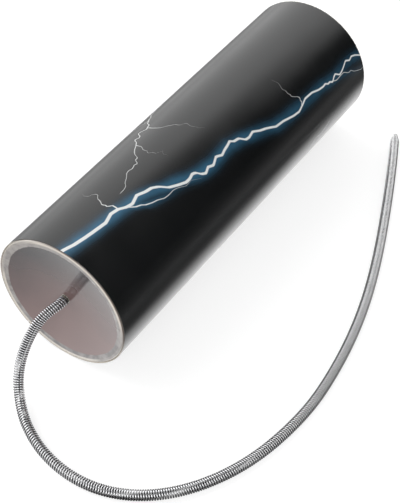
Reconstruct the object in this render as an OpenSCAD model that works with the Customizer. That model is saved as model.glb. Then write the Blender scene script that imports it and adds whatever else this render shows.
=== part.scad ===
// Thunder tube: a board tube closed at one end by a film head, with a long coil spring hanging from
// the middle of the head. It lies on a table with its axis along Y and the head towards -Y.
// The origin is the middle of the tube on its axis, and +Z is up. All lengths are in millimetres.

/* [Tube] */
// Outside diameter over the printed wrap
tube_od = 65; // [60:0.5:72]
// Length from the head's rim to the open end
tube_len = 200; // [180:1:230]
// Thickness of the board wall
board_t = 2.6; // [2:0.1:3.2]
// Extra thickness of the board inside the head end
head_band_t = 1.4; // [0.8:0.1:2]
// Length of the thicker head end, from the rim
head_band_len = 10; // [9:0.5:20]
// Rounding of the board's outer edge under the film
rim_round = 0.6; // [0.4:0.1:1.4]

/* [Printed wrap] */
// Thickness of the printed wrap
wrap_t = 0.3; // [0.2:0.05:0.5]
// Bare margin between the head's rim and the wrap
wrap_head_margin = 0.5; // [0.3:0.1:4]
// Bare margin between the wrap and the open end
wrap_mouth_margin = 0.1; // [0.1:0.1:3]
// Width of the seam where the wrap's two edges meet
wrap_seam = 0.4; // [0.2:0.1:1]

/* [Head] */
// Thickness of the film
film_t = 0.25; // [0.15:0.05:0.5]
// Length of the film's skirt under the wrap, from the rim
skirt_len = 9; // [5:0.5:15]
// How far the middle of the film lies behind the rim
dish = 2.6; // [1.5:0.1:4]
// Thickness of the glue between the film and the board's end
glue_t = 0.2; // [0.1:0.05:0.4]
// Bare margin between the glue and the board's inner edge
glue_margin = 0.3; // [0.1:0.1:1]

/* [Spring anchor] */
// Diameter of the swivel pin's shank
pin_d = 1.6; // [1.2:0.1:2]
// Diameter of the pin's collar in front of the eyelet
collar_d = 2.6; // [2.3:0.1:3.4]
// Thickness of the pin's collar
collar_t = 0.5; // [0.4:0.1:1]
// Diameter of the pin's head behind the eyelet
pin_head_d = 3.2; // [2.6:0.1:5]
// Thickness of the pin's head
pin_head_t = 1.2; // [0.8:0.1:2]
// Diameter of the eyelet's flanges
eyelet_d = 4.4; // [4:0.1:6]
// Thickness of the eyelet's flanges
flange_t = 0.4; // [0.3:0.1:0.8]
// Wall of the eyelet's barrel
barrel_wall = 0.4; // [0.3:0.1:0.6]
// Diameter of the washer behind the film
washer_d = 12; // [9:0.5:16]
// Thickness of the washer
washer_t = 1; // [0.6:0.1:1.5]

/* [Spring] */
// Outside diameter of the coil spring
spring_od = 4.7; // [4:0.1:5.5]
// Diameter of the wire of the curls
curl_wire_d = 1.6; // [1.2:0.1:1.8]
// Number of curls
curls = 90; // [60:1:92]
// Outside diameter of the spring at its free tip
tip_od = 2.6; // [2.2:0.1:3.4]
// Length over which the spring narrows to its free tip
tip_len = 5; // [3:0.5:12]
// Reach of the curve in which the spring lies, to the side of the tube's axis
spring_reach = 100; // [90:1:110]

/* [Hidden] */

// Clearance between layers and pieces that are glued or clinched together
seat_gap = 0.05;
// Radial clearance of the swivel pin in the eyelet
pin_play = 0.05;
// Clearance at each end of the swivel pin's travel
end_play = 0.1;
// Clearance between the spring's first turn and the pin's collar, so that the spring can bend there
root_gap = 0.3;
// How far a cutting shape runs past what it cuts
overrun = 1;

// Radii, from the outside inwards
tube_r = tube_od / 2;
wrap_r = tube_r - wrap_t;
board_r = wrap_r - seat_gap;
skirt_r = board_r - film_t;
seat_r = skirt_r - seat_gap;
bore_r = board_r - board_t;
head_bore_r = bore_r - head_band_t;
fold_r = rim_round + seat_gap + film_t;
rim_flat_r = board_r - fold_r;

// Distances from the plane of the head's rim, along the tube
glue_front = film_t + seat_gap;
board_front = glue_front + glue_t + seat_gap;
dish_sphere_r = (head_bore_r * head_bore_r + dish * dish) / (2 * dish);
dish_sphere_at = dish - dish_sphere_r;
eyelet_r = eyelet_d / 2;
flange_back = dish_sphere_at + sqrt(dish_sphere_r * dish_sphere_r - eyelet_r * eyelet_r) - seat_gap;
flange_front = flange_back - flange_t;
washer_front = dish + film_t + seat_gap;
clinch_front = washer_front + washer_t + seat_gap;
clinch_back = clinch_front + flange_t;
collar_back = flange_front - end_play;
collar_front = collar_back - collar_t;
pin_head_front = clinch_back + end_play;
pin_head_back = pin_head_front + pin_head_t;

// Radii of the anchor's pieces
shank_r = pin_d / 2;
eyelet_bore_r = shank_r + pin_play;
barrel_r = eyelet_bore_r + barrel_wall;
film_hole_r = barrel_r + seat_gap;

// The seam lies on the underside, clear of the line that rests on the table
seam_turn = 40;

// The spring's own sizes
spring_r = spring_od / 2;
curl_r = spring_r - curl_wire_d / 2;
tip_curl_r = (tip_od - curl_wire_d) / 2;
root_at = collar_front - root_gap;

// Curve in which the spring lies, as shares of its reach: [to the side, from the rim] and the share of
// the drop that is left. From the seventh point on it lies on the table.
lay_shares = [
    [-0.025, -0.075, 0.95], [-0.045, -0.125, 0.82], [-0.05, -0.185, 0.64], [-0.045, -0.24, 0.45],
    [-0.02, -0.295, 0.26], [0.025, -0.345, 0.09], [0.085, -0.395, 0.01], [0.16, -0.44, 0],
    [0.26, -0.485, 0], [0.415, -0.515, 0], [0.58, -0.495, 0], [0.73, -0.415, 0], [0.845, -0.295, 0],
    [0.93, -0.15, 0], [0.985, 0.005, 0], [1.015, 0.165, 0], [1.03, 0.33, 0], [1.02, 0.495, 0],
    [1, 0.66, 0], [0.97, 0.82, 0], [0.93, 0.98, 0], [0.88, 1.14, 0], [0.825, 1.295, 0],
    [0.765, 1.45, 0], [0.705, 1.6, 0], [0.64, 1.755, 0], [0.575, 1.905, 0], [0.505, 2.055, 0],
    [0.435, 2.205, 0]
];

// Route of the spring's centre line: [x, distance from the rim, share of the drop that is left]. Its
// first three points make it leave the head squarely.
root_run = 3.2;
route = concat(
    [[0, root_at + root_run, 1], [0, root_at, 1], [0, root_at - root_run, 1]],
    [for (p = lay_shares) [p[0] * spring_reach, p[1] * spring_reach, p[2]]]);
route_steps_per_point = 8;
rings_per_curl = 8;
wire_sides = 6;
round_steps = 180;
small_steps = 72;

// Places a shape that is drawn along Z so that it runs along the tube from the head's rim
module along_tube() {
    translate([0, -tube_len / 2, 0]) rotate([-90, 0, 0]) children();
}

// Rectangle of a turned profile, from one radius to another and from one height to another
module band(r0, r1, h0, h1) {
    translate([r0, h0]) square([r1 - r0, h1 - h0]);
}

module shell() {
    corner_r = seat_r - rim_round;
    corner_h = board_front + rim_round;
    color("#6f4e37")
    along_tube()
    rotate_extrude($fn = round_steps)
    difference() {
        band(head_bore_r, board_r, board_front, tube_len);
        band(0, bore_r, head_band_len, tube_len + overrun);
        band(seat_r, board_r + overrun, 0, skirt_len + seat_gap);
        difference() {
            band(corner_r, board_r + overrun, 0, corner_h);
            translate([corner_r, corner_h]) circle(rim_round, $fn = small_steps);
        }
    }
}

module printed_wrap() {
    color("#15171a")
    along_tube()
    difference() {
        translate([0, 0, wrap_head_margin])
            cylinder(r = tube_r, h = tube_len - wrap_head_margin - wrap_mouth_margin, $fn = round_steps);
        translate([0, 0, -overrun])
            cylinder(r = wrap_r, h = tube_len + 2 * overrun, $fn = round_steps);
        rotate([0, 0, 90 + seam_turn])
            translate([0, -wrap_seam / 2, 0])
            cube([tube_r + overrun, wrap_seam, tube_len]);
    }
}

// Outline of the film over the rim and down the skirt, for the given inset from its outer face
module film_envelope(inset, skirt_end) {
    band(0, rim_flat_r, inset, skirt_end);
    band(0, board_r - inset, fold_r, skirt_end);
    translate([rim_flat_r, fold_r]) circle(fold_r - inset, $fn = small_steps);
}

// The dished middle of the film, a cap between two equal circles one film thickness apart
module dished_film() {
    intersection() {
        difference() {
            translate([0, dish_sphere_at + film_t]) circle(dish_sphere_r, $fn = round_steps * 4);
            translate([0, dish_sphere_at]) circle(dish_sphere_r, $fn = round_steps * 4);
        }
        band(film_hole_r, head_bore_r, 0, dish + 2 * film_t);
    }
}

module drumhead() {
    color([0.62, 0.57, 0.57, 0.6])
    along_tube()
    rotate_extrude($fn = round_steps) {
        difference() {
            film_envelope(0, skirt_len);
            film_envelope(film_t, skirt_len + overrun);
            band(0, head_bore_r, -overrun, skirt_len);
        }
        dished_film();
    }
}

module glue_ring() {
    color("#cfc8bb")
    along_tube()
    rotate_extrude($fn = round_steps)
    band(head_bore_r + glue_margin, rim_flat_r, glue_front, glue_front + glue_t);
}

module eyelet() {
    color("#c9ccd0")
    along_tube()
    rotate_extrude($fn = small_steps) {
        band(eyelet_bore_r, eyelet_r, flange_front, flange_back);
        band(eyelet_bore_r, barrel_r, flange_front, clinch_back);
        band(eyelet_bore_r, eyelet_r, clinch_front, clinch_back);
    }
}

module anchor_washer() {
    color("#9da1a6")
    along_tube()
    rotate_extrude($fn = small_steps)
    band(film_hole_r, washer_d / 2, washer_front, washer_front + washer_t);
}

module swivel_pin() {
    color("#b8bcc2")
    along_tube() {
        translate([0, 0, collar_front]) cylinder(d = collar_d, h = collar_t, $fn = small_steps);
        translate([0, 0, collar_front])
            cylinder(d = pin_d, h = pin_head_back - collar_front, $fn = small_steps);
        translate([0, 0, pin_head_front]) cylinder(d = pin_head_d, h = pin_head_t, $fn = small_steps);
    }
}

function unit(v) = v / norm(v);

// Point of a uniform cubic B-spline through the control points c, at parameter t
function spline_at(c, t) =
    let(i = min(floor(t), len(c) - 4), u = t - i)
    (pow(1 - u, 3) * c[i] + (3 * pow(u, 3) - 6 * pow(u, 2) + 4) * c[i + 1]
        + (-3 * pow(u, 3) + 3 * pow(u, 2) + 3 * u + 1) * c[i + 2] + pow(u, 3) * c[i + 3]) / 6;

// Length of the line through points p up to each of them
function running_length(p) =
    [for (i = 0, s = 0; i < len(p); s = s + (i + 1 < len(p) ? norm(p[i + 1] - p[i]) : 0), i = i + 1) s];

// Route in the part's frame: heights run from the tube's axis down to a spring lying on the table
function placed(p) = [p[0], p[1] - tube_len / 2, -(tube_r - spring_r) * (1 - p[2])];

// Least distance between stretches of the wire half a curl or more apart, less its diameter
function least_gap(p, apart) =
    min([for (i = [0:len(p) - 1 - apart]) min([for (j = [i + apart:len(p) - 1]) norm(p[j] - p[i])])])
        - curl_wire_d;

module spring() {
    ways = [for (p = route) placed(p)];
    steps = (len(ways) - 3) * route_steps_per_point;
    line = [for (k = [0:steps]) spline_at(ways, k / route_steps_per_point)];
    run = running_length(line);
    xs = [for (k = [0:steps]) [run[k], line[k][0]]];
    ys = [for (k = [0:steps]) [run[k], line[k][1]]];
    zs = [for (k = [0:steps]) [run[k], line[k][2]]];
    total = run[steps];
    function at(s) = [lookup(s, xs), lookup(s, ys), lookup(s, zs)];
    function heading(s) = unit(at(s + curl_wire_d) - at(s - curl_wire_d));

    // The wire's ends run straight for one wire diameter, and the curls lie between them
    curl_run = total - 2 * curl_wire_d;
    curl_pitch = curl_run / curls;
    rings = curls * rings_per_curl;
    places = concat([0], [for (k = [0:rings]) curl_wire_d + curl_run * k / rings], [total]);
    function turned(s) = 360 * min(max(s - curl_wire_d, 0), curl_run) / curl_pitch;
    function outward(s) =
        let(side = unit(cross(heading(s), [0, 0, 1])), down = cross(heading(s), side))
        cos(turned(s)) * side + sin(turned(s)) * down;
    function reach(s) =
        min(curl_r * min(max(s - curl_wire_d, 0) / (curl_pitch / 2), 1),
            tip_curl_r + (curl_r - tip_curl_r) * min(max(total - curl_wire_d - s, 0) / tip_len, 1));

    centres = [for (s = places) at(s) + reach(s) * outward(s)];
    last = len(places) - 1;
    corners = [for (i = [0:last])
        let(along = unit(centres[min(i + 1, last)] - centres[max(i - 1, 0)]),
            out = outward(places[i]),
            first = unit(out - (out * along) * along),
            second = cross(along, first))
        for (k = [0:wire_sides - 1])
            centres[i] + curl_wire_d / 2 * (cos(360 * k / wire_sides) * first
                + sin(360 * k / wire_sides) * second)];
    function corner(i, k) = i * wire_sides + k % wire_sides;
    faces = concat(
        [for (k = [1:wire_sides - 2]) [corner(0, 0), corner(0, k), corner(0, k + 1)]],
        [for (i = [0:last - 1]) for (k = [0:wire_sides - 1])
            [corner(i, k), corner(i + 1, k), corner(i, k + 1)]],
        [for (i = [0:last - 1]) for (k = [0:wire_sides - 1])
            [corner(i, k + 1), corner(i + 1, k), corner(i + 1, k + 1)]],
        [for (k = [1:wire_sides - 2]) [corner(last, 0), corner(last, k + 1), corner(last, k)]]);
    echo(spring_length = total, curl_pitch = curl_pitch, triangles = len(faces),
        least_gap_to_itself = least_gap(centres, rings_per_curl / 2));
    color("#b4b8bb") polyhedron(points = corners, faces = faces, convexity = 10);
}

shell();
printed_wrap();
drumhead();
glue_ring();
eyelet();
anchor_washer();
swivel_pin();
spring();
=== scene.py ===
"""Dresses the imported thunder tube: a printed board tube, its film head and anchor, and a long coil spring."""

import logging
import math
import random
from collections.abc import Callable
from dataclasses import dataclass
from enum import Enum
from functools import partial

import bmesh
import bpy
from mathutils import Matrix, Vector
from mathutils.kdtree import KDTree


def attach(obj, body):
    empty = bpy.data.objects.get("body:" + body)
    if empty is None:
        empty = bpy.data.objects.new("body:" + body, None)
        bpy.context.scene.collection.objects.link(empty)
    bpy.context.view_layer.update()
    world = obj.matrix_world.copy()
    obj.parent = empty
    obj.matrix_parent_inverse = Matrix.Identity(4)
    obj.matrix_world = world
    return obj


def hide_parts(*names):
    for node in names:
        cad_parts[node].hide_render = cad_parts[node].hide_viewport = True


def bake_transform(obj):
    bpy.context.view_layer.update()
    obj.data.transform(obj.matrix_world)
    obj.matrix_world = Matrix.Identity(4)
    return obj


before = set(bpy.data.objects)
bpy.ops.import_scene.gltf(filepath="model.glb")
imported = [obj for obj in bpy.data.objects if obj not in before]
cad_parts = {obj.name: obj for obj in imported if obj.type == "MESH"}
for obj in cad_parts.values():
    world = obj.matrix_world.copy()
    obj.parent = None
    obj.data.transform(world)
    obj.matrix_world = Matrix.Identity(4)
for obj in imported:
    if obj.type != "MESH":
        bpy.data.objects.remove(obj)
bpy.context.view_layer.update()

MM = 0.001
TAU = 2 * math.pi
MERGED_MM = 0.0005
ON_AXIS_MM = 0.001
ROUND_STEPS = 3
LOG = logging.getLogger("thunder_tube")

Node = bpy.types.Node
Socket = bpy.types.NodeSocket
Feed = Node | Socket
AddNode = Callable[..., Node]
Inputs = dict[str, object]
Piece = bpy.types.Object
Pair = tuple[float, float]
Triple = tuple[float, float, float]


class Body(Enum):
    """Bodies of the part that the pieces ride on."""

    TUBE = "tube"
    HEAD_ANCHOR = "head_anchor"
    SWIVEL = "swivel"
    SPRING = "spring"


class Slot(Enum):
    """Material slots, named after the finishes."""

    PRINT = "print"
    FILM = "film"
    GLUE = "glue"
    NICKEL = "nickel"
    ZINC = "zinc"
    SPRING_WIRE = "spring_wire"


class Run(Enum):
    """Way in which a printed stroke runs over the unrolled sleeve."""

    ALONG = "along"
    AROUND = "around"


def linear(hex_colour: str) -> tuple[float, float, float, float]:
    """Turns an sRGB hex colour to a linear one.

    Args:
        hex_colour: colour such as "#8a6a4e".

    Returns:
        Red, green, blue and an alpha of 1.
    """
    shares = [int(hex_colour[i : i + 2], 16) / 255 for i in (1, 3, 5)]
    red, green, blue = [s / 12.92 if s <= 0.04045 else ((s + 0.055) / 1.055) ** 2.4 for s in shares]
    return red, green, blue, 1.0


def add_node(tree: bpy.types.NodeTree, kind: str, inputs: dict | None = None, **settings: object) -> Node:
    """Adds a node with its settings, values and links.

    Args:
        tree: node tree that gets the node.
        kind: type of the node, without its prefix.
        inputs: input's name or number, to a value, a hex colour, an output, or a node that feeds it by the
            first output that its settings leave in use.
        **settings: properties of the node.

    Returns:
        The new node.
    """
    node = tree.nodes.new("ShaderNode" + kind)
    for name, value in settings.items():
        setattr(node, name, value)
    for key, value in (inputs or {}).items():
        if isinstance(value, Node):
            value = next(output for output in value.outputs if output.enabled)
        if isinstance(value, Socket):
            tree.links.new(value, node.inputs[key])
        else:
            node.inputs[key].default_value = linear(value) if isinstance(value, str) else value
    return node


def tube_coordinates(add: AddNode, place: Socket) -> tuple[Feed, Feed, Feed]:
    """Adds the coordinates that a pattern on a turned piece follows.

    Args:
        add: adds a node to the finish.
        place: place on the piece, in metres.

    Returns:
        Angle round the tube from its top in radians, place along it and distance from its axis in metres.
    """
    x, y, z = add("SeparateXYZ", {0: place}).outputs
    angle = add("Math", {0: x, 1: z}, operation="ARCTAN2")
    across = add("CombineXYZ", {"X": x, "Y": 0.0, "Z": z})
    radius = add("VectorMath", {0: across}, operation="LENGTH")
    return angle, y, radius


def level_along(
    add: AddNode, place: Socket, direction: Triple, span: Pair, levels: Pair = (0.0, 1.0)
) -> Node:
    """Adds a level that changes along a direction.

    Args:
        add: adds a node to the tree.
        place: place, or direction seen in.
        direction: direction that the level follows.
        span: how far along it the change starts and ends.
        levels: level before the change and after it.

    Returns:
        The level.
    """
    far = add("VectorMath", {0: place, 1: direction}, operation="DOT_PRODUCT")
    ends = {"From Min": span[0], "From Max": span[1], "To Min": levels[0], "To Max": levels[1]}
    return add("MapRange", {"Value": far, **ends})


def two_tone(add: AddNode, place: Socket, patch_mm: float, tones: tuple[str, str]) -> tuple[Node, Node, Node]:
    """Adds soft patches of one colour in another.

    Args:
        add: adds a node to the finish.
        place: place on the piece, in metres.
        patch_mm: size of the patches.
        tones: the two colours.

    Returns:
        The uneven pattern, the second colour's share and the colour.
    """
    scale = 1 / (patch_mm * MM)
    uneven = add("TexNoise", {"Vector": place, "Scale": scale, "Detail": 4.0, "Roughness": 0.6})
    share = add("MapRange", {"Value": uneven, "From Min": 0.35, "From Max": 0.65})
    colour = add("Mix", {0: share, "A": tones[0], "B": tones[1]}, data_type="RGBA")
    return uneven, share, colour


def lay_ramp(node: Node, stops: list[tuple[float, tuple[float, ...]]]) -> None:
    """Lays out the stops of a colour ramp.

    Args:
        node: ramp node.
        stops: position and linear colour of each stop, in rising order.
    """
    elements = node.color_ramp.elements
    while len(elements) < len(stops):
        elements.new(0.5)
    for element, (position, colour) in zip(elements, stops):
        element.position = position
        element.color = colour


def put_in_scene(name: str, data: bpy.types.ID) -> Piece:
    """Makes an object and puts it in the scene.

    Args:
        name: name of the object.
        data: its mesh, curve, light or camera.

    Returns:
        The object.
    """
    made = bpy.data.objects.new(name, data)
    bpy.context.scene.collection.objects.link(made)
    return made


def finished_piece(
    bm: bmesh.types.BMesh, name: str, material: bpy.types.Material, crease: float = 40.0
) -> Piece:
    """Makes a closed, smooth-shaded piece of a bmesh, and frees the bmesh.

    Args:
        bm: mesh in metres, in the part's frame.
        name: name of the piece.
        material: finish of the whole piece.
        crease: angle in degrees from which an edge stays sharp.

    Returns:
        The object, at the origin.
    """
    bmesh.ops.remove_doubles(bm, verts=bm.verts[:], dist=MERGED_MM * MM)
    bmesh.ops.recalc_face_normals(bm, faces=bm.faces[:])
    for face in bm.faces:
        face.smooth = True
    for edge in bm.edges:
        edge.smooth = edge.calc_face_angle(math.pi) < math.radians(crease)
    mesh = bpy.data.meshes.new(name)
    bm.to_mesh(mesh)
    bm.free()
    mesh.materials.append(material)
    piece = put_in_scene(name, mesh)
    return piece


def spin_round(bm: bmesh.types.BMesh, steps: int) -> None:
    """Spins all points and edges of a mesh once round the tube's axis."""
    bmesh.ops.spin(
        bm, geom=bm.verts[:] + bm.edges[:], cent=(0, 0, 0), axis=(0, 1, 0), angle=TAU, steps=steps,
        use_merge=True, use_duplicate=False,
    )


def turned_outline(corners: list[Pair], rounding: float, steps: int) -> bmesh.types.BMesh:
    """Rounds the corners of an outline and turns it about the tube's axis.

    Args:
        corners: distance from the axis and place along it of each corner, in millimetres.
        rounding: how far from a corner its round starts, in millimetres.
        steps: number of faces round the axis.

    Returns:
        Mesh of the turned shape, in metres.
    """
    bm = bmesh.new()
    verts = [bm.verts.new((radius * MM, along * MM, 0)) for radius, along in corners]
    bm.faces.new(verts)
    bmesh.ops.bevel(
        bm, geom=[v for v in verts if v.co.x > 0], offset=rounding * MM, offset_type="OFFSET",
        segments=ROUND_STEPS, profile=0.5, affect="VERTICES", material=-1,
    )
    bmesh.ops.delete(bm, geom=bm.faces[:], context="FACES_ONLY")
    on_axis = [e for e in bm.edges if all(v.co.x < ON_AXIS_MM * MM for v in e.verts)]
    bmesh.ops.delete(bm, geom=on_axis, context="EDGES")
    spin_round(bm, steps)
    return bm


@dataclass(frozen=True)
class Finish:
    """A surface finish, made of one Principled shader and the nodes that feed it."""

    name: str

    def surface(self, add: AddNode, place: Socket) -> Inputs:
        """Adds the nodes that feed the shader, which each finish does in its own way.

        Args:
            add: adds a node to the finish.
            place: place on the piece, in metres.

        Returns:
            Inputs of the shader, by name.
        """
        raise NotImplementedError

    def material(self) -> bpy.types.Material:
        """Makes the material of the finish.

        Returns:
            The material.
        """
        material = bpy.data.materials.new(self.name)
        material.use_nodes = True
        tree = material.node_tree
        tree.nodes.clear()
        place = add_node(tree, "TexCoord").outputs["Object"]
        shader = add_node(tree, "BsdfPrincipled", self.surface(partial(add_node, tree), place))
        add_node(tree, "OutputMaterial", {"Surface": shader})
        return material


@dataclass(frozen=True)
class WoundBoard(Finish):
    """Kraft board wound from plies in a spiral, left raw: matt, fibrous, with a butt line at each lead."""

    kraft: str = "#8d6f55"
    pale_fibre: str = "#b39a7d"
    dark_fibre: str = "#5f4734"
    ply_mm: float = 0.52
    ply_line_mm: float = 0.11
    lead_mm: float = 92.0
    fibre_mm: float = 0.5
    blotch_mm: float = 1000 / 18

    def surface(self, add: AddNode, place: Socket) -> Inputs:
        """Adds the fibres, the spiral line of the inner ply and the plies at a cut end.

        Args:
            add: adds a node to the finish.
            place: place on the piece, in metres.

        Returns:
            Inputs of the shader, by name.
        """
        angle, along, radius = tube_coordinates(add, place)
        strip = add("CombineXYZ", {"X": angle, "Y": along, "Z": radius})
        # The fibres lie along the plies, round the tube, so they are drawn out four times that way.
        drawn_out = add("Mapping", {0: strip, "Scale": (0.0075, 1.0, 1.0)})
        fibre_scale, blotch_scale = 1 / (self.fibre_mm * MM), 1 / (self.blotch_mm * MM)
        fibres = add(
            "TexNoise", {"Vector": drawn_out, "Scale": fibre_scale, "Detail": 5.0, "Roughness": 0.62}
        )
        blotches = add("TexNoise", {"Vector": strip, "Scale": blotch_scale, "Detail": 2.0, "Roughness": 0.5})
        tone = add("Mix", {0: 0.25, "A": fibres, "B": blotches}, data_type="FLOAT")
        paper = add("ValToRGB", {0: tone})
        stops = ((0.30, self.dark_fibre), (0.5, self.kraft), (0.72, self.pale_fibre))
        lay_ramp(paper, [(level, linear(colour)) for level, colour in stops])
        # The ply's edges meet in a line that climbs one lead with each turn.
        turns = add("Math", {0: angle, 1: 1 / TAU}, operation="MULTIPLY")
        climb = add("Math", {0: along, 1: 1 / (self.lead_mm * MM), 2: turns}, operation="MULTIPLY_ADD")
        butt = add("Math", {0: climb, 1: 0.5}, operation="PINGPONG")
        butt_line = add(
            "MapRange",
            {"Value": butt, "From Min": 0.0015, "From Max": 0.005, "To Min": 0.75, "To Max": 0.0},
        )
        # Only a cut end, which faces along the tube, shows the plies as rings.
        facing = add("SeparateXYZ", {0: add("NewGeometry").outputs["Normal"]})
        end_on = add("Math", {0: facing.outputs["Y"]}, operation="ABSOLUTE")
        is_end = add("Math", {0: end_on, 1: 0.7}, operation="GREATER_THAN")
        ring = add("Math", {0: radius, 1: self.ply_mm * MM / 2}, operation="PINGPONG")
        ring_line = add(
            "MapRange", {"Value": ring, "From Max": self.ply_line_mm * MM, "To Min": 0.8, "To Max": 0.0}
        )
        lines = add("Mix", {0: is_end, "A": butt_line, "B": ring_line}, data_type="FLOAT")
        colour = add("Mix", {0: lines, "A": paper, "B": self.dark_fibre}, data_type="RGBA")
        nap = add("Bump", {"Height": fibres, "Strength": 0.5, "Distance": 0.06 * MM})
        return {"Base Color": colour, "Roughness": 0.88, "Normal": nap}


@dataclass(frozen=True)
class Stroke:
    """One forked stroke of the print: its line over the unrolled sleeve, in shares of the sleeve's sides."""

    run: Run
    line: tuple[Pair, ...]
    width_mm: float
    glow_mm: float
    start_share: float = 1.0
    end_share: float = 0.12


@dataclass(frozen=True)
class LongStroke:
    """Kind of a long stroke: shares of the sleeve between which it starts and ends, and its looks."""

    starts: Pair
    ends: Pair
    kept: float
    width_mm: float
    glow_mm: float
    fork_glow_mm: float


@dataclass(frozen=True)
class StrokeLayout:
    """Draws forked strokes of the sleeve's own design from a seed."""

    seed: int = 11
    around_mm: float = 204.2
    along_mm: float = 200.0
    mains: int = 5
    kinds: tuple[LongStroke, LongStroke] = (
        LongStroke((-0.06, -0.02), (1.02, 1.06), kept=0.55, width_mm=1.7, glow_mm=3.0, fork_glow_mm=2.2),
        LongStroke((0.1, 0.3), (0.6, 0.85), kept=0.35, width_mm=1.0, glow_mm=0.0, fork_glow_mm=0.0),
    )
    side_play: float = 0.2
    lean: float = 0.1
    stray: float = 0.06
    calming: float = 0.64
    split: Pair = (0.38, 0.62)
    halvings: int = 6
    forks: int = 4
    fork_halvings: int = 4
    fork_margin: int = 4
    fork_calm: float = 3.0
    # Reach and drift of the forks that leave round the tube, and of those that run on along it.
    round_fork: tuple[Pair, Pair] = ((0.07, 0.13), (-0.05, 0.09))
    onward_fork: tuple[Pair, Pair] = ((0.14, 0.26), (0.05, 0.11))
    round_width_mm: float = 0.85
    onward_width_mm: float = 0.95

    def jagged(
        self, rng: random.Random, start: Pair, end: Pair, stray: float, halvings: int
    ) -> tuple[Pair, ...]:
        """Joins two places by a line that strays to its sides by less at each halving.

        Args:
            rng: source of the straying.
            start: running and sideways share of the start.
            end: running and sideways share of the end.
            stray: most that the first middle point lies aside, as a share.
            halvings: how often each piece is halved.

        Returns:
            Points of the line.
        """
        line = [start, end]
        for _ in range(halvings):
            finer = [line[0]]
            for a, b in zip(line, line[1:]):
                share = rng.uniform(*self.split)
                aside = a[1] + (b[1] - a[1]) * share + rng.uniform(-stray, stray)
                finer += [(a[0] + (b[0] - a[0]) * share, aside), b]
            line = finer
            stray *= self.calming
        return tuple(line)

    def strokes(self) -> list[Stroke]:
        """Lays out the long strokes and the forks that leave them.

        Returns:
            The strokes, each long one before its forks.
        """
        rng = random.Random(self.seed)
        found = []
        for i in range(self.mains):
            kind = self.kinds[i % 2]
            side = (i + 0.5 + rng.uniform(-self.side_play, self.side_play)) / self.mains
            start = rng.uniform(*kind.starts)
            end = rng.uniform(*kind.ends)
            if i % 3 == 1:
                start, end = 1 - start, 1 - end
            lean = rng.uniform(-self.lean, self.lean)
            line = self.jagged(rng, (start, side - lean), (end, side + lean), self.stray, self.halvings)
            found.append(Stroke(Run.ALONG, line, kind.width_mm, kind.glow_mm, end_share=kind.kept))
            for k in range(self.forks):
                root = line[rng.randrange(self.fork_margin, len(line) - self.fork_margin - 1)]
                # A fork is as weak at its root as the stroke that it leaves.
                left = 1.0 - (1.0 - kind.kept) * (root[0] - start) / (end - start)
                way = -1 if (i + k) % 2 else 1
                if k % 2:
                    run, width, glow = Run.AROUND, self.round_width_mm, 0.0
                    reach, drift = self.round_fork
                    root = (root[1], root[0])
                    onward = way * rng.uniform(*reach)
                    place = (root[0] + onward, root[1] + rng.uniform(*drift))
                else:
                    run, width, glow = Run.ALONG, self.onward_width_mm, kind.fork_glow_mm
                    reach, drift = self.onward_fork
                    onward = math.copysign(rng.uniform(*reach), end - start)
                    place = (root[0] + onward, root[1] + way * rng.uniform(*drift))
                fork = self.jagged(rng, root, place, self.stray / self.fork_calm, self.fork_halvings)
                found.append(Stroke(run, fork, width, glow, left))
        return found


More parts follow.
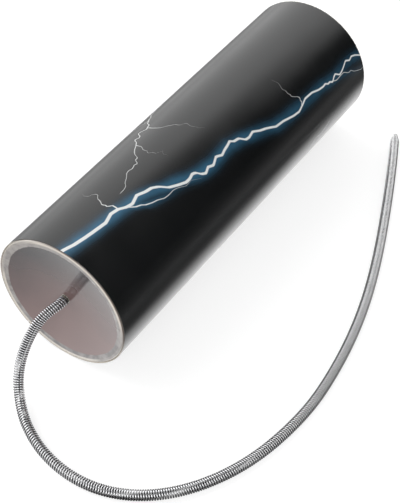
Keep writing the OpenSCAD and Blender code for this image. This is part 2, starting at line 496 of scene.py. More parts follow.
@dataclass(frozen=True)
class PrintedPaper(Finish):
    """Coated paper printed black and varnished: smooth, satin, with pale strokes left out of the ink."""

    ink: str = "#0f1112"
    paper_white: str = "#f4f6f5"
    glow: str = "#3f789a"
    bare_edge: str = "#cfcac0"
    paper_core: str = "#f0eae1"
    # Painted shade on the paper's core along the top of the sheet, and the direction in which it darkens.
    core_shade: str = "#4a423c"
    core_shade_lean: Triple = (0.5, 0.0, 0.866)
    # Distances from the axis in millimetres between which the core gives way to the printed face.
    face_from: Pair = (32.44, 32.47)
    # Places along the tube in millimetres between which the ink wears off at the mouth.
    worn_from: Pair = (99.0, 99.9)
    seam_turn_deg: float = 140.0
    cloud_mm: float = 12.0
    speck_mm: float = 1.6
    haze_mm: float = 25.0
    grain_mm: float = 0.6
    # A stroke's soft edge, how much fuller than its width its middle is, and how steeply its ends stop.
    soft_mm: float = 0.3
    fullness: float = 0.3
    end_step: float = 0.004
    clear_steps: int = 6
    calm_span: int = 3
    layout: StrokeLayout = StrokeLayout()

    def draw_stroke(
        self,
        add: AddNode,
        stroke: Stroke,
        around: Feed,
        along: Feed,
        cores: Feed | float,
        glows: Feed | float,
    ) -> tuple[Feed, Feed | float]:
        """Adds one stroke to the white cores and to the glows.

        Args:
            add: adds a node to the finish.
            stroke: the stroke.
            around: share of the way round the sleeve.
            along: share of the way along the sleeve.
            cores: cores so far.
            glows: glows so far.

        Returns:
            Cores and glows with this stroke.
        """
        lengthwise = stroke.run is Run.ALONG
        running, sideways = (along, around) if lengthwise else (around, along)
        side_mm = self.layout.around_mm if lengthwise else self.layout.along_mm
        points = sorted(stroke.line)
        first, last = stroke.line[0][0], stroke.line[-1][0]
        step = math.copysign(self.end_step, last - first)
        clear = self.clear_steps * step
        fade = sorted(
            [
                (first - clear, 0.0), (first - step, 0.0), (first, stroke.start_share),
                (last, stroke.end_share), (last + step, 0.0), (last + clear, 0.0),
            ]
        )
        strength = add("FloatCurve", {"Value": running})
        self.bend_curve(strength, fade)
        distance = self.distance(add, points, running, sideways)
        soft = self.soft_mm / side_mm
        full = stroke.width_mm / 2 / side_mm / soft + self.fullness
        reach = add("Math", {0: strength, 1: full}, operation="MULTIPLY")
        core = add("Math", {0: distance, 1: -1 / soft, 2: reach}, operation="MULTIPLY_ADD", use_clamp=True)
        cores = add("Math", {0: core, 1: cores}, operation="MAXIMUM")
        if stroke.glow_mm > 0:
            # The glow lies round an evened line, falls off as a bell curve and dies out with its stroke.
            aside = self.distance(add, self.evened(points), running, sideways)
            reach_out = add("Math", {0: aside, 1: side_mm / stroke.glow_mm}, operation="MULTIPLY")
            fall = add("Math", {0: reach_out, 1: 2.0}, operation="POWER")
            bell = add("Math", {0: 1 / math.e, 1: fall}, operation="POWER")
            dying = add("Math", {0: strength, 1: strength}, operation="MULTIPLY")
            halo = add("Math", {0: bell, 1: dying}, operation="MULTIPLY")
            glows = add("Math", {0: halo, 1: glows}, operation="MAXIMUM")
        return cores, glows

    def distance(self, add: AddNode, points: list[Pair], running: Feed, sideways: Feed) -> Node:
        """Adds the distance from a stroke's line, measured sideways.

        Args:
            add: adds a node to the finish.
            points: points of the line, in rising order.
            running: share of the way that the line runs.
            sideways: share of the way across it.

        Returns:
            The distance, as a share.
        """
        path = add("FloatCurve", {"Value": running})
        self.bend_curve(path, points)
        gap = add("Math", {0: sideways, 1: path}, operation="SUBTRACT")
        return add("Math", {0: gap}, operation="ABSOLUTE")

    def evened(self, points: list[Pair]) -> list[Pair]:
        """Evens out a jagged line by each point's mean with the neighbours on its two sides.

        Args:
            points: points of the line.

        Returns:
            Points of the evened line, with its ends in place.
        """
        last = len(points) - 1
        even = []
        for i, (place, _) in enumerate(points):
            span = min(self.calm_span, i, last - i)
            near = points[i - span : i + span + 1]
            even.append((place, sum(aside for _, aside in near) / len(near)))
        return even

    def bend_curve(self, node: Node, points: list[Pair]) -> None:
        """Lays a curve node's line through points, with straight pieces between them.

        Args:
            node: curve node.
            points: input and output of each point, in rising order.
        """
        curve = node.mapping.curves[0]
        node.mapping.use_clip = False
        node.mapping.extend = "HORIZONTAL"
        curve.points[0].location = points[0]
        curve.points[-1].location = points[-1]
        for place in points[1:-1]:
            curve.points.new(*place)
        for point in curve.points:
            point.handle_type = "VECTOR"
        node.mapping.update()

    def surface(self, add: AddNode, place: Socket) -> Inputs:
        """Adds the strokes on the ink, the worn edge at the mouth, the cut edges and the varnish.

        Args:
            add: adds a node to the finish.
            place: place on the piece, in metres.

        Returns:
            Inputs of the shader, by name.
        """
        angle, along, radius = tube_coordinates(add, place)
        from_seam = add("Math", {0: angle, 1: math.radians(self.seam_turn_deg)}, operation="ADD")
        turned = add("Math", {0: from_seam, 1: 1 / TAU}, operation="MULTIPLY")
        around = add("Math", {0: turned}, operation="FRACT")
        sleeve = self.layout.along_mm * MM
        lengthwise = add("Math", {0: along, 1: 1 / sleeve, 2: 0.5}, operation="MULTIPLY_ADD")
        cores, glows = 0.0, 0.0
        for stroke in self.layout.strokes():
            cores, glows = self.draw_stroke(add, stroke, around, lengthwise, cores, glows)
        clouds, specks, haze, grain = (
            add("TexNoise", {"Vector": place, "Scale": 1 / (size * MM), "Detail": detail, "Roughness": rough})
            for size, detail, rough in (
                (self.cloud_mm, 3.0, 0.6), (self.speck_mm, 4.0, 0.7), (self.haze_mm, 3.0, 0.55),
                (self.grain_mm, 2.0, 0.5),
            )
        )
        # The glow is cloudy, the ink is worn at the mouth, the cut shows the core, and the varnish varies.
        worn_start, worn_end = self.worn_from
        core_end, face_start = self.face_from
        cloud_share, worn, cut, gloss = (
            add("MapRange", {"Value": by, "From Min": start, "From Max": end, "To Min": low, "To Max": high})
            for by, start, end, low, high in (
                (clouds, 0.3, 0.65, 0.7, 1.05),
                (along, worn_start * MM, worn_end * MM, -0.35, 0.25),
                (radius, core_end * MM, face_start * MM, 1.0, 0.0),
                (haze, 0.3, 0.7, 0.18, 0.25),
            )
        )
        glow_share = add("Math", {0: glows, 1: cloud_share}, operation="MULTIPLY", use_clamp=True)
        tinted = add("Mix", {0: glow_share, "A": self.ink, "B": self.glow}, data_type="RGBA")
        stroked = add("Mix", {0: cores, "A": tinted, "B": self.paper_white}, data_type="RGBA")
        # Handling wears the ink off in specks, over the last millimetre at the mouth.
        worn_share = add("Math", {0: worn, 1: specks}, operation="ADD")
        worn_off = add("MapRange", {"Value": worn_share, "From Min": 0.55, "From Max": 0.68})
        face = add("Mix", {0: worn_off, "A": stroked, "B": self.bare_edge}, data_type="RGBA")
        # Under the printed face the paper's core shows: at its cut ends and on its inner face. Painted shade
        # darkens the core along the top of the sheet.
        shaded_top = level_along(add, place, self.core_shade_lean, (4 * MM, 14 * MM))
        core = add("Mix", {0: shaded_top, "A": self.paper_core, "B": self.core_shade}, data_type="RGBA")
        colour = add("Mix", {0: cut, "A": face, "B": core}, data_type="RGBA")
        # The paper under the varnish has a fine grain.
        tooth = add("Bump", {"Height": grain, "Strength": 0.12, "Distance": 0.02 * MM})
        return {"Base Color": colour, "Roughness": gloss, "Normal": tooth, "IOR": 1.6}


@dataclass(frozen=True)
class StretchedFilm(Finish):
    """Polyester film under tension: glossy and cloudy over the hollow tube, paler where it is glued down."""

    shaded: str = "#595658"
    lit: str = "#987c79"
    glued: str = "#7d7777"
    # Pale colour of the glue's blisters, also the painted light round the band's top left.
    blister_and_lit: str = "#c9c3bf"
    # Painted highlight where the film bends over the board.
    fold: str = "#fdf4e8"
    # Lit and shaded colours painted on the film's side, down the board.
    lit_side_tone: str = "#faf3ea"
    shaded_side_tone: str = "#7d6e65"
    # Distances from the axis in millimetres over which the glued band, the bend over the board and the way
    # down its side begin.
    glued_from: Pair = (28.5, 28.9)
    bent_from: Pair = (30.15, 30.55)
    down_from: Pair = (31.35, 31.65)
    # Change per metre of the painted light on the glued band, and the directions that the film's lit half,
    # the painted highlight on the bend and the painted shade down its side face.
    band_light_lean: Triple = (-5.2, 0.0, 9.8)
    lit_lean: Triple = (0.2, 0.0, -0.98)
    highlight_lean: Triple = (0.5, 0.0, 0.866)
    side_shade_lean: Triple = (0.77, 0.0, 0.64)
    cloud_mm: float = 16.0
    spot_mm: float = 3.5
    ragged_mm: float = 0.7
    wave_mm: float = 9.0

    def surface(self, add: AddNode, place: Socket) -> Inputs:
        """Adds painted light and shade across the film, the glued band and a painted highlight on the fold.

        Args:
            add: adds a node to the finish.
            place: place on the piece, in metres.

        Returns:
            Inputs of the shader, by name.
        """
        _, _, radius = tube_coordinates(add, place)
        # Clouds in the film, thick spots in the glue, and slight waves that the tension leaves.
        clouds, mottle, waves = (
            add("TexNoise", {"Vector": place, "Scale": 1 / (size * MM), "Detail": detail, "Roughness": rough})
            for size, detail, rough in (
                (self.cloud_mm, 3.0, 0.5), (self.spot_mm, 4.0, 0.6), (self.wave_mm, 1.0, 0.4),
            )
        )
        # Painted light and shade: shaded colour at the top, lit colour at the bottom, with clouds between.
        drift = level_along(add, place, self.lit_lean, (-28 * MM, 28 * MM), (-0.25, 1.1))
        # Painted light: the middle is drawn a little nearer the lit colour.
        lit_middle = add(
            "MapRange",
            {"Value": radius, "From Min": 4 * MM, "From Max": 24 * MM, "To Min": 0.28, "To Max": 0.0},
        )
        paler = add("Math", {0: drift, 1: lit_middle}, operation="ADD")
        cloudy = add("Math", {0: clouds, 1: 0.3, 2: paler}, operation="MULTIPLY_ADD", use_clamp=True)
        hollow = add("Mix", {0: cloudy, "A": self.shaded, "B": self.lit}, data_type="RGBA")
        # Painted light: the glued band is paler round the top left of the rim.
        thickness = add("VectorMath", {0: place, 1: self.band_light_lean}, operation="DOT_PRODUCT")
        spots_and_light = add("Math", {0: mottle, 1: 1.8, 2: thickness}, operation="MULTIPLY_ADD")
        blisters_and_light = add("MapRange", {"Value": spots_and_light, "From Min": 0.43, "From Max": 1.33})
        band = add("Mix", {0: blisters_and_light, "A": self.glued, "B": self.blister_and_lit}, data_type="RGBA")
        ragged = add("Math", {0: mottle, 1: self.ragged_mm * MM, 2: radius}, operation="MULTIPLY_ADD")
        in_band, at_bend, past_bend = (
            add("MapRange", {"Value": reached, "From Min": start * MM, "From Max": end * MM})
            for reached, (start, end) in (
                (ragged, self.glued_from), (radius, self.bent_from), (radius, self.down_from),
            )
        )
        over_board = add("Mix", {0: in_band, "A": hollow, "B": band}, data_type="RGBA")
        # The film catches the light where it bends over the board: a painted highlight, strong along the top
        # and the bottom and faint at the sides.
        highlight_top = level_along(add, place, self.highlight_lean, (13 * MM, 22 * MM), (0.15, 1.0))
        highlight_bottom = level_along(add, place, self.highlight_lean, (-10 * MM, -18 * MM))
        highlighted = add("Math", {0: highlight_top, 1: highlight_bottom}, operation="MAXIMUM")
        fold_highlight_share = add("Math", {0: at_bend, 1: highlighted}, operation="MULTIPLY")
        bent = add("Mix", {0: fold_highlight_share, "A": over_board, "B": self.fold}, data_type="RGBA")
        # Painted shade: down the board's side the film is darkened towards the top right.
        side_shade = level_along(add, place, self.side_shade_lean, (8 * MM, 22 * MM))
        down_side = add("Mix", {0: side_shade, "A": self.lit_side_tone, "B": self.shaded_side_tone}, data_type="RGBA")
        colour = add("Mix", {0: past_bend, "A": bent, "B": down_side}, data_type="RGBA")
        cover = add("MapRange", {"Value": in_band, "To Min": 0.86, "To Max": 0.92})
        ripple = add("Bump", {"Height": waves, "Strength": 0.12, "Distance": 0.2 * MM})
        return {
            "Base Color": colour, "Alpha": cover, "Normal": ripple, "Roughness": 0.16, "IOR": 1.6,
            "Coat Weight": 1.0, "Coat Roughness": 0.09, "Coat IOR": 1.6,
        }


@dataclass(frozen=True)
class DriedGlue(Finish):
    """Contact glue, brushed on and dried: pale, lumpy and half glossy."""

    pale: str = "#cfc8bb"
    amber: str = "#b7a78b"
    mark_mm: float = 2.0

    def surface(self, add: AddNode, place: Socket) -> Inputs:
        """Adds the brush marks, with thick and thin places.

        Args:
            add: adds a node to the finish.
            place: place on the piece, in metres.

        Returns:
            Inputs of the shader, by name.
        """
        marks, _, colour = two_tone(add, place, self.mark_mm, (self.amber, self.pale))
        lumps = add("Bump", {"Height": marks, "Strength": 0.6, "Distance": 0.1 * MM})
        return {"Base Color": colour, "Normal": lumps, "Roughness": 0.45}


@dataclass(frozen=True)
class PlatedSteel(Finish):
    """Steel under a thin bright plate: metal with fine handling marks and slightly dulled patches."""

    colour: str
    dulled: str
    patch_mm: float
    roughness: Pair

    def surface(self, add: AddNode, place: Socket) -> Inputs:
        """Adds the plate's dulled patches.

        Args:
            add: adds a node to the finish.
            place: place on the piece, in metres.

        Returns:
            Inputs of the shader, by name.
        """
        _, share, colour = two_tone(add, place, self.patch_mm, (self.dulled, self.colour))
        bright, dull = self.roughness
        rough = add("MapRange", {"Value": share, "To Min": dull, "To Max": bright})
        return {"Base Color": colour, "Roughness": rough, "Metallic": 1.0}


@dataclass(frozen=True)
class SpringWire(Finish):
    """Drawn steel wire: glossy and painted shaded near the head, more matt and painted lit at its far end."""

    # Shaded and lit tones of the wire, which its random patches mix as well, and the deep and light painted
    # shade of its grooves.
    dark_patch_and_shade: str = "#dadbde"
    pale_patch_and_light: str = "#fafafb"
    deep_groove_shade: str = "#303133"
    light_groove_shade: str = "#f4f5f6"
    patch_mm: float = 7.0
    dark_tone_roughness: float = 0.14
    pale_tone_roughness: float = 0.22

    def surface(self, add: AddNode, place: Socket) -> Inputs:
        """Adds the wire's tone, painted paler away from the head, with its patches and painted groove shade.

        Args:
            add: adds a node to the finish.
            place: place on the piece, in metres.

        Returns:
            Inputs of the shader, by name.
        """
        _, y, z = add("SeparateXYZ", {0: place}).outputs
        scale = 1 / (self.patch_mm * MM)
        patches = add("TexNoise", {"Vector": place, "Scale": scale, "Detail": 4.0, "Roughness": 0.6})
        # Painted light makes the far half paler, and painted shade darkens the stretch that hangs
        # from the head.
        far_end_light = add("MapRange", {"Value": y, "From Min": -90 * MM, "From Max": 30 * MM, "To Max": 0.5})
        hanging_shade = add("MapRange", {"Value": z, "From Min": -31 * MM, "From Max": -10 * MM, "To Max": -0.5})
        both = add("Math", {0: far_end_light, 1: hanging_shade}, operation="ADD")
        share = add("Math", {0: patches, 1: both}, operation="ADD", use_clamp=True)
        colour = add("Mix", {0: share, "A": self.dark_patch_and_shade, "B": self.pale_patch_and_light}, data_type="RGBA")
        # Painted shade darkens the grooves between the turns, less deeply towards the far end.
        groove = add("Attribute", attribute_name="groove").outputs["Fac"]
        in_groove = add("MapRange", {"Value": groove, "From Min": 0.35, "From Max": 0.9})
        groove_shade = add("Mix", {0: far_end_light, "A": self.deep_groove_shade, "B": self.light_groove_shade}, data_type="RGBA")
        groove_shaded = add("Mix", {0: in_groove, "A": colour, "B": groove_shade}, data_type="RGBA")
        rough = add(
            "MapRange",
            {"Value": share, "To Min": self.dark_tone_roughness, "To Max": self.pale_tone_roughness},
        )
        return {"Base Color": groove_shaded, "Roughness": rough, "Metallic": 1.0}


@dataclass(frozen=True)
class StudioFloor(Finish):
    """White paper sweep: matt, and seen a little brighter than it is lit so that only the shadow shows."""

    paper: str = "#b8b8b8"
    seen_lift: float = 0.72
    mirrored_lift: float = 1.4
    dimmed: float = 0.85
    # Place across the tube in millimetres, and share of the lift that gloss shows there: a pool of light
    # under the tube, dimmer paper on both sides of it, and the window's light on the paper far left.
    pool: tuple[Pair, ...] = (
        (-250, 0.7), (-180, 0.65), (-120, 0.22), (-60, 0.42), (-20, 0.66), (12, 0.95), (36, 1.0),
        (44, 0.85), (54, 0.18), (63, 0.06), (80, 0.1), (92, 0.18), (115, 0.2), (130, 0.08), (150, 0.08),
        (200, 0.04), (250, 0.0),
    )
    # Places along the tube in millimetres between which the paper in front of the head dims to a share.
    front_dim: Triple = (-100, -135, 0.5)

    def surface(self, add: AddNode, place: Socket) -> Inputs:
        """Adds the floor's lift, which is seen by the camera, by metal and through film alone.

        Args:
            add: adds a node to the finish.
            place: place on the floor, in metres.

        Returns:
            Inputs of the shader, by name.
        """
        # Metal and varnish see the paper as a studio's strip of light leaves it.
        x, y, _ = add("SeparateXYZ", {0: place}).outputs
        first, last = self.pool[0][0], self.pool[-1][0]
        across = add("MapRange", {"Value": x, "From Min": first * MM, "From Max": last * MM})
        pool = add("ValToRGB", {0: across})
        lay_ramp(pool, [((x_mm - first) / (last - first), (lit, lit, lit, 1.0)) for x_mm, lit in self.pool])
        from_y, to_y, front_share = self.front_dim
        in_front = add(
            "MapRange",
            {
                "Value": y, "From Min": from_y * MM, "From Max": to_y * MM,
                "To Min": 1.0, "To Max": front_share,
            },
            interpolation_type="SMOOTHSTEP",
        )
        lit_paper = add("Math", {0: pool, 1: in_front}, operation="MULTIPLY")
        path = add("LightPath").outputs
        mirrored = add(
            "Math", {0: path["Is Glossy Ray"], 1: path["Is Transmission Ray"]}, operation="MAXIMUM"
        )
        mirrored_glow = add("Math", {0: mirrored, 1: self.mirrored_lift}, operation="MULTIPLY")
        pooled_glow = add("Math", {0: mirrored_glow, 1: lit_paper}, operation="MULTIPLY")
        glow = add(
            "Math", {0: path["Is Camera Ray"], 1: self.seen_lift, 2: pooled_glow}, operation="MULTIPLY_ADD"
        )
        dimming = add("Math", {0: mirrored, 1: self.dimmed}, operation="MULTIPLY")
        paper = add("Mix", {0: dimming, "A": self.paper, "B": "#000000"}, data_type="RGBA")
        return {
            "Base Color": paper, "Roughness": 0.9, "Specular IOR Level": 0.0, "Emission Color": "#ffffff",
            "Emission Strength": glow,
        }


@dataclass
class BoardTube:
    """The wound board tube and the printed sleeve that is glued round it, in millimetres."""

    outer_r: float = 32.5
    sleeve_t: float = 0.3
    sleeve_start: float = -100.33
    sleeve_end: float = 99.9
    seam_deg: float = -140.0
    seam_width: float = 0.4
    steps: int = 240

    def dress_shell(self) -> None:
        """Gives the board its finish."""
        board = WoundBoard("raw_kraft_board").material()
        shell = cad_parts["shell"]
        for slot in shell.material_slots:
            slot.material = board
        LOG.info("shell: %d faces dressed as %s", len(shell.data.polygons), board.name)

    def sleeve(self) -> Piece:
        """Spins the paper sleeve's section from one side of the seam round to the other.

        Returns:
            The sleeve.
        """
        inner_r = self.outer_r - self.sleeve_t
        gap = self.seam_width / self.outer_r
        turn = Matrix.Rotation(math.radians(self.seam_deg) + gap / 2, 4, "Y")
        bm = bmesh.new()
        corners = [
            (inner_r, self.sleeve_start), (self.outer_r, self.sleeve_start),
            (self.outer_r, self.sleeve_end), (inner_r, self.sleeve_end),
        ]
        section = bm.faces.new([bm.verts.new((0, y * MM, r * MM)) for r, y in corners])
        bmesh.ops.transform(bm, matrix=turn, verts=bm.verts[:])
        bmesh.ops.spin(
            bm, geom=[section], cent=(0, 0, 0), axis=(0, 1, 0), angle=TAU - gap, steps=self.steps,
            use_merge=False, use_duplicate=False,
        )
        paper = PrintedPaper("printed_satin_paper").material()
        piece = finished_piece(bm, "paper_sleeve", paper)
        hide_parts("printed_wrap")
        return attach(piece, Body.TUBE.value)

    def build(self) -> list[Piece]:
        """Makes the pieces of the tube."""
        self.dress_shell()
        return [self.sleeve()]


@dataclass
class FilmHead:
    """The film that closes the tube, with the glue under its rim, in millimetres."""

    rim_y: float = -100.0
    hole_r: float = 1.3
    hollow_r: float = 28.15
    flat_r: float = 31.25
    crest_r: float = 31.0
    crest_rise: float = 0.5
    outer_r: float = 32.15
    dish: float = 2.6
    film_t: float = 0.25
    skirt_len: float = 9.0
    still: float = 0.3
    driven: float = 0.2
    glue_r: float = 28.45
    glue_front: float = 0.3
    glue_t: float = 0.2
    glue_rounding: float = 0.08
    glue_seed: int = 5
    glue_waves: tuple[int, ...] = (3, 5, 8, 13, 21, 34)
    glue_heights: Pair = (0.04, 0.16)
    steps: int = 192
    dish_steps: int = 44
    fold_steps: int = 10

    def arc(
        self, bm: bmesh.types.BMesh, start: Vector, centre: Vector, turn: float, steps: int
    ) -> tuple[bmesh.types.BMVert, bmesh.types.BMVert]:
        """Draws an arc of the film's section.

        Args:
            bm: mesh that gets the arc.
            start: where it starts, in metres.
            centre: its centre, in metres.
            turn: angle that it covers, in radians.
            steps: number of its edges.

        Returns:
            Its first and last point.
        """
        first = bm.verts.new(start)
        spun = bmesh.ops.spin(
            bm, geom=[first], cent=centre, axis=(0, 0, 1), angle=turn, steps=steps, use_duplicate=False
        )
        return first, next(v for v in spun["geom_last"] if isinstance(v, bmesh.types.BMVert))

    def film(self) -> Piece:
        """Spins the film's outer face: the dish, the rise over the board, the fold and the skirt.

        Returns:
            The film, with its thickness as a modifier.
        """
        sphere_r = (self.hollow_r**2 + self.dish**2) / (2 * self.dish)
        centre = Vector((0, self.rim_y + self.dish - sphere_r, 0)) * MM
        inner, outer = math.asin(self.hole_r / sphere_r), math.asin(self.hollow_r / sphere_r)
        bm = bmesh.new()
        hole = centre + Vector((math.sin(inner), math.cos(inner), 0)) * sphere_r * MM
        _, dish_end = self.arc(bm, hole, centre, inner - outer, self.dish_steps)
        # Over the glue the film rises a little to a crest, and bends from there down the board's side.
        crest_y = self.rim_y - self.crest_rise
        fold_r = self.outer_r - self.crest_r
        crest = Vector((self.crest_r, crest_y, 0)) * MM
        bend = Vector((self.crest_r, crest_y + fold_r, 0)) * MM
        fold_start, fold_end = self.arc(bm, crest, bend, math.pi / 2, self.fold_steps)
        skirt_end = bm.verts.new(Vector((self.outer_r, self.rim_y + self.skirt_len, 0)) * MM)
        bm.edges.new((dish_end, fold_start))
        bm.edges.new((fold_end, skirt_end))
        spin_round(bm, self.steps)
        film = StretchedFilm("clouded_polyester_film").material()
        piece = finished_piece(bm, "film_head", film, crease=60.0)
        self.face_forwards(piece)
        wall = piece.modifiers.new("film_thickness", "SOLIDIFY")
        wall.thickness = self.film_t * MM
        wall.offset = -1.0
        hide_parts("drumhead")
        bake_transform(piece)
        return piece

    def face_forwards(self, piece: Piece) -> None:
        """Turns the open sheet's faces so that the dish faces out of the tube."""
        mesh = piece.data
        if sum(p.normal.y * p.area for p in mesh.polygons) > 0:
            mesh.flip_normals()

    def glue(self) -> Piece:
        """Spins the ring of glue, and lets its inner edge wander as brushed glue does.

        Returns:
            The glue ring.
        """
        front = self.rim_y + self.glue_front
        back = front + self.glue_t
        corners = [(self.glue_r, front), (self.flat_r, front), (self.flat_r, back), (self.glue_r, back)]
        bm = turned_outline(corners, self.glue_rounding, self.steps)
        rng = random.Random(self.glue_seed)
        waves = [(n, rng.uniform(0, TAU), rng.uniform(*self.glue_heights)) for n in self.glue_waves]
        middle = (self.glue_r + self.flat_r) / 2
        for vert in bm.verts:
            radius = math.hypot(vert.co.x, vert.co.z) / MM
            if radius < middle:
                angle = math.atan2(vert.co.x, vert.co.z)
                wander = sum(height * math.sin(n * angle + phase) for n, phase, height in waves)
                scale = (radius + abs(wander)) / radius
                vert.co.x *= scale
                vert.co.z *= scale
        piece = finished_piece(bm, "glue_bead", DriedGlue("dried_contact_glue").material())
        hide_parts("glue_ring")
        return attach(piece, Body.TUBE.value)

    def build(self) -> list[Piece]:
        """Makes the pieces of the head."""
        return [self.film(), self.glue()]


@dataclass
class HeadAnchor:
    """What holds the spring in the middle of the film: an eyelet, a washer behind and a pin that turns."""

    rim_y: float = -100.0
    rounding: float = 0.15
    steps: int = 64
    # Distance from the axis and from the rim's plane of each corner, in millimetres.
    eyelet: tuple[Pair, ...] = (
        (0.85, 2.13), (2.2, 2.13), (2.2, 2.53), (1.25, 2.53), (1.25, 3.95), (2.2, 3.95), (2.2, 4.35),
        (0.85, 4.35),
    )
    washer: tuple[Pair, ...] = ((1.3, 2.9), (6.0, 2.9), (6.0, 3.9), (1.3, 3.9))
    pin: tuple[Pair, ...] = (
        (0, 1.53), (1.3, 1.53), (1.3, 2.03), (0.8, 2.03), (0.8, 4.45), (1.6, 4.45), (1.6, 5.65), (0, 5.65),
    )

    def ring(
        self, name: str, node: str, body: Body, finish: Finish, slot: Slot, outline: tuple[Pair, ...]
    ) -> Piece:
        """Turns one piece of the anchor.

        Args:
            name: name of the piece.
            node: solid that the piece stands for.
            body: body that it rides on.
            finish: its finish.
            slot: its material slot; not used.
            outline: distance from the axis and from the rim's plane of each corner, in millimetres.

        Returns:
            The piece.
        """
        corners = [(r, self.rim_y + depth) for r, depth in outline]
        bm = turned_outline(corners, self.rounding, self.steps)
        piece = finished_piece(bm, name, finish.material())
        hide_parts(node)
        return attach(piece, body.value)

    def build(self) -> list[Piece]:
        """Makes the eyelet, the washer and the pin.

        Returns:
            The three pieces.
        """
        nickel = PlatedSteel("nickel_plated_steel", "#cdc9c1", "#a39f98", 1.2, (0.16, 0.32))
        zinc = PlatedSteel("zinc_plated_steel", "#b3b8bd", "#8e9398", 0.9, (0.30, 0.48))
        return [
            self.ring("rolled_eyelet", "eyelet", Body.HEAD_ANCHOR, nickel, Slot.NICKEL, self.eyelet),
            self.ring("backing_washer", "anchor_washer", Body.HEAD_ANCHOR, zinc, Slot.ZINC, self.washer),
            self.ring("turning_pin", "swivel_pin", Body.SWIVEL, nickel, Slot.NICKEL, self.pin),
        ]


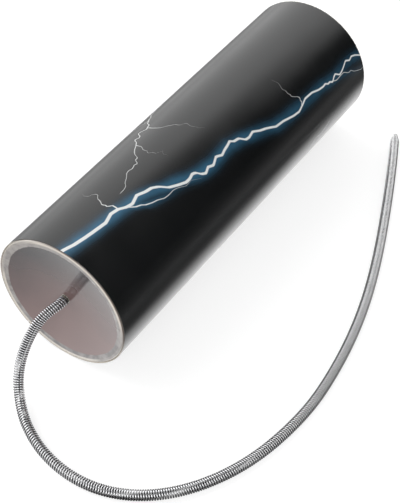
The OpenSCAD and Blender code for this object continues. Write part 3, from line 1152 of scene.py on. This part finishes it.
@dataclass
class CoilSpring:
    """The long, soft coil spring in the curve in which it lies, in millimetres."""

    outer_d: float = 4.7
    wire_d: float = 0.8
    tip_d: float = 2.6
    tip_len: float = 5.0
    reach: float = 100.0
    rim_y: float = -100.0
    drop: float = 30.15
    hang: float = 28.0
    root_at: float = 1.234
    root_run: float = 3.2
    grip_len: float = 0.45
    heading_span: float = 1.6
    steps_per_turn: int = 16
    steps_per_point: int = 8
    # Side, distance from the rim and share of the drop left, each as a share of the reach or the drop.
    lay_shares: tuple[Triple, ...] = (
        (-0.025, -0.075, 0.95), (-0.045, -0.125, 0.82), (-0.05, -0.185, 0.64), (-0.045, -0.24, 0.45),
        (-0.02, -0.295, 0.26), (0.025, -0.345, 0.09), (0.085, -0.395, 0.01), (0.16, -0.44, 0),
        (0.26, -0.485, 0), (0.415, -0.515, 0), (0.58, -0.495, 0), (0.73, -0.415, 0), (0.845, -0.295, 0),
        (0.93, -0.15, 0), (0.985, 0.005, 0), (1.015, 0.165, 0), (1.03, 0.33, 0), (1.02, 0.495, 0),
        (1, 0.66, 0), (0.97, 0.82, 0), (0.93, 0.98, 0), (0.88, 1.14, 0), (0.825, 1.295, 0),
        (0.765, 1.45, 0), (0.705, 1.6, 0), (0.64, 1.755, 0), (0.575, 1.905, 0), (0.505, 2.055, 0),
        (0.435, 2.205, 0),
    )
    # Length from the root and pitch of the coil there: a little open at the bends, closed at the tip.
    pitches: tuple[Pair, ...] = (
        (0, 0.93), (11, 0.95), (29, 1.0), (47, 1.06), (60, 1.2), (68, 1.24), (83, 1.16), (101, 1.07),
        (119, 1.015), (137, 1.005), (173, 1.01), (225, 1.035), (260, 1.0), (350, 0.95), (378, 0.84),
        (400, 0.82),
    )

    def centre_line(self) -> tuple[list[Vector], list[float]]:
        """Follows the route's spline, as the part's solid does.

        Returns:
            Points of the line in millimetres, and the length of the line up to each.
        """
        ways = [(0, self.root_at + side * self.root_run, 1) for side in (1, 0, -1)]
        ways += [(x * self.reach, y * self.reach, left) for x, y, left in self.lay_shares]
        knots = [Vector((x, self.rim_y + y, -self.drop * (1 - left))) for x, y, left in ways]
        line = []
        for k in range((len(knots) - 3) * self.steps_per_point + 1):
            i = min(k // self.steps_per_point, len(knots) - 4)
            u = k / self.steps_per_point - i
            pulls = ((1 - u) ** 3, 3 * u**3 - 6 * u**2 + 4, -3 * u**3 + 3 * u**2 + 3 * u + 1, u**3)
            total = Vector((0, 0, 0))
            for pull, knot in zip(pulls, knots[i : i + 4]):
                total += pull * knot
            line.append(total / 6)
        run = [0.0]
        for a, b in zip(line, line[1:]):
            run.append(run[-1] + (b - a).length)
        return line, run

    def between(self, stations: list[tuple[float, Vector | float]], at: float) -> Vector | float:
        """Finds a value at a length by straight lines between stations.

        Args:
            stations: length and value, in rising order.
            at: length at which the value is wanted.

        Returns:
            The value there, or that of the nearer end.
        """
        if at <= stations[0][0]:
            return stations[0][1]
        low, high = 0, len(stations) - 1
        if at >= stations[high][0]:
            return stations[high][1]
        while high - low > 1:
            middle = (low + high) // 2
            if stations[middle][0] <= at:
                low = middle
            else:
                high = middle
        share = (at - stations[low][0]) / (stations[high][0] - stations[low][0])
        return stations[low][1] * (1 - share) + stations[high][1] * share

    def wire_line(self) -> list[Vector]:
        """Winds the wire round the centre line, from the pin's collar to the cut end at the tip.

        Returns:
            Points of the wire's middle, in metres.
        """
        line, run = self.centre_line()
        # The first turns reach past the solid's root and grip the pin's collar.
        line.insert(0, line[0] + Vector((0, self.grip_len, 0)))
        run.insert(0, -self.grip_len)
        stations = list(zip(run, line))
        pitches = list(self.pitches)
        total = run[-1]
        full_r = (self.outer_d - self.wire_d) / 2
        tip_r = (self.tip_d - self.wire_d) / 2
        points = []
        length, phase = -self.grip_len, 0.0
        while length < total:
            here = self.between(stations, length)
            ahead = self.between(stations, length + self.heading_span)
            heading = (ahead - self.between(stations, length - self.heading_span)).normalized()
            side = heading.cross(Vector((0, 0, 1))).normalized()
            down = heading.cross(side)
            narrowed = min((total - length) / self.tip_len, 1.0)
            radius = tip_r + (full_r - tip_r) * narrowed
            outward = side * math.cos(phase) + down * math.sin(phase)
            points.append((here + outward * radius) * MM)
            length += self.between(pitches, length) / self.steps_per_turn
            phase += TAU / self.steps_per_turn
        LOG.info("spring: %.1f mm long, %.0f turns", total, phase / TAU)
        return points

    def mark_grooves(self, bm: bmesh.types.BMesh, points: list[Vector]) -> None:
        """Marks how far the wire's skin faces the next turn: 0 outside and inside, 1 in the grooves.

        Args:
            bm: the wire's mesh.
            points: points of the wire's middle, in metres.
        """
        groove = bm.verts.layers.float.new("groove")
        middles = KDTree(len(points))
        for i, point in enumerate(points):
            middles.insert(point, i)
        middles.balance()
        turn = self.steps_per_turn
        for vert in bm.verts:
            nearest, i, _ = middles.find(vert.co)
            along = points[min(i + turn, len(points) - 1)] - points[max(i - turn, 0)]
            vert[groove] = abs((vert.co - nearest).normalized().dot(along.normalized()))

    def build(self) -> list[Piece]:
        """Gives the wire its thickness.

        Returns:
            The spring.
        """
        points = self.wire_line()
        curve = bpy.data.curves.new("wire_line", "CURVE")
        curve.dimensions = "3D"
        curve.bevel_depth = self.wire_d / 2 * MM
        curve.bevel_resolution = 2
        curve.use_fill_caps = True
        spline = curve.splines.new("POLY")
        spline.points.add(len(points) - 1)
        for point, place in zip(spline.points, points):
            point.co = (*place, 1.0)
        wire = put_in_scene("wire_line", curve)
        graph = bpy.context.evaluated_depsgraph_get()
        bm = bmesh.new()
        bm.from_mesh(bpy.data.meshes.new_from_object(wire.evaluated_get(graph)))
        bpy.data.objects.remove(wire)
        self.mark_grooves(bm, points)
        steel = SpringWire("drawn_bright_spring_wire").material()
        piece = finished_piece(bm, "coil_spring", steel, crease=70.0)
        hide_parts("spring")
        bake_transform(piece)
        return [piece]


@dataclass
class Studio:
    """Floor, lights and camera."""

    floor_z_mm: float = -32.5
    floor_gap_mm: float = 0.02
    floor_half_m: float = 4.0
    camera_mm: Triple = (245.66, -363.39, 390.78)
    camera_right: Triple = (0.83036, 0.55723, 0.0)
    camera_ahead: Triple = (-0.39112, 0.58283, -0.71228)
    lens: float = 91.25
    fill_at_m: Triple = (0.5, -1.3, 0.9)
    fill_side_m: float = 1.0
    fill_watts: float = 9.0
    sky_dark: float = 0.02
    window_level: float = 1.5
    front_level: float = 0.9
    side_level: float = 1.5
    screened_level: float = 0.05
    # The window's slanted edge: it is bright where a direction leans away from this one.
    window_edge: Triple = (0.449, -0.691, 0.566)
    # Where the black screen stands that shades the camera.
    screen_side: Triple = (0.391, -0.583, 0.712)

    def floor(self) -> None:
        """Lays the floor just under the tube and the spring."""
        bm = bmesh.new()
        bmesh.ops.create_grid(bm, x_segments=1, y_segments=1, size=self.floor_half_m)
        height = (self.floor_z_mm - self.floor_gap_mm) * MM
        bmesh.ops.translate(bm, vec=(0, 0, height), verts=bm.verts[:])
        mesh = bpy.data.meshes.new("studio_floor")
        bm.to_mesh(mesh)
        bm.free()
        mesh.materials.append(StudioFloor("white_paper_sweep").material())
        put_in_scene("studio_floor", mesh)

    def sky(self) -> None:
        """Surrounds the scene with white, and lights it by a window at the back left and from the front."""
        world = bpy.data.worlds.new("studio_walls")
        bpy.context.scene.world = world
        world.use_nodes = True
        tree = world.node_tree
        tree.nodes.clear()
        add = partial(add_node, tree)
        direction = add("TexCoord").outputs["Generated"]
        x, y, _ = add("SeparateXYZ", {0: direction}).outputs
        from_middle = add("Math", {0: y, 1: 0.05}, operation="SUBTRACT")
        endwards, sidewards = (add("Math", {0: way}, operation="ABSOLUTE") for way in (from_middle, x))
        # The window ends on the right and brightens towards the back, and the front is lit on its own. Two
        # boxes of light at the sides end before the stretch of wall that the tube's side mirrors.
        left, towards_back, front, in_box, beside = (
            add("MapRange", {"Value": way, "From Min": start, "From Max": end, "To Min": low, "To Max": high})
            for way, start, end, low, high in (
                (x, 0.3, 0.5, 1.0, 0.0),
                (y, 0.4, 0.75, 0.8, 1.1),
                (y, -0.2, 0.2, self.front_level, self.sky_dark),
                (endwards, 0.22, 0.35, self.side_level, 0.0),
                (sidewards, 0.3, 0.5, 0.0, 1.0),
            )
        )
        inside = level_along(add, direction, self.window_edge, (-0.1, 0.075), (1.0, 0.0))
        window = add("Math", {0: inside, 1: left}, operation="MULTIPLY")
        shaded = add("Math", {0: window, 1: towards_back}, operation="MULTIPLY")
        side_box = add("Math", {0: in_box, 1: beside}, operation="MULTIPLY")
        both_sides = add("Math", {0: shaded, 1: self.window_level, 2: side_box}, operation="MULTIPLY_ADD")
        walls = add("Math", {0: both_sides, 1: front}, operation="ADD")
        unscreened = level_along(
            add, direction, self.screen_side, (0.68, 0.86), (1.0, self.screened_level)
        )
        level = add("Math", {0: walls, 1: unscreened}, operation="MULTIPLY")
        seen = add("LightPath").outputs["Is Camera Ray"]
        strength = add("Mix", {0: seen, "A": level, "B": 1.0}, data_type="FLOAT")
        background = add("Background", {"Color": "#ffffff", "Strength": strength})
        add("OutputWorld", {"Surface": background})

    def fill(self) -> None:
        """Hangs a soft light in front, which faces the tube."""
        lamp = bpy.data.lights.new("front_fill", "AREA")
        lamp.shape = "RECTANGLE"
        lamp.size = self.fill_side_m
        lamp.size_y = self.fill_side_m
        lamp.energy = self.fill_watts
        light = put_in_scene("front_fill", lamp)
        light.location = self.fill_at_m
        light.rotation_euler = (-Vector(self.fill_at_m)).to_track_quat("-Z", "Y").to_euler()

    def camera(self) -> None:
        """Sets the camera where the photograph was taken from."""
        data = bpy.data.cameras.new("camera")
        data.lens = self.lens
        data.sensor_width = 36.0
        data.clip_start = 0.01
        data.clip_end = 50.0
        ahead = Vector(self.camera_ahead).normalized()
        right = Vector(self.camera_right).normalized()
        pose = Matrix((right, right.cross(ahead), -ahead)).transposed().to_4x4()
        pose.translation = Vector(self.camera_mm) * MM
        camera = put_in_scene("camera", data)
        camera.matrix_world = pose
        bpy.context.scene.camera = camera

    def build(self) -> None:
        """Sets up the studio."""
        self.floor()
        self.sky()
        self.fill()
        self.camera()


def main() -> None:
    """Builds the pieces in order, and reports each."""
    logging.basicConfig(level=logging.INFO, format="%(name)s: %(message)s")
    bpy.context.scene.view_settings.view_transform = "Standard"
    for part in (BoardTube(), FilmHead(), HeadAnchor(), CoilSpring()):
        for piece in part.build():
            LOG.info("%s: %d faces", piece.name, len(piece.data.polygons))
    Studio().build()


if __name__ == "__main__":
    main()
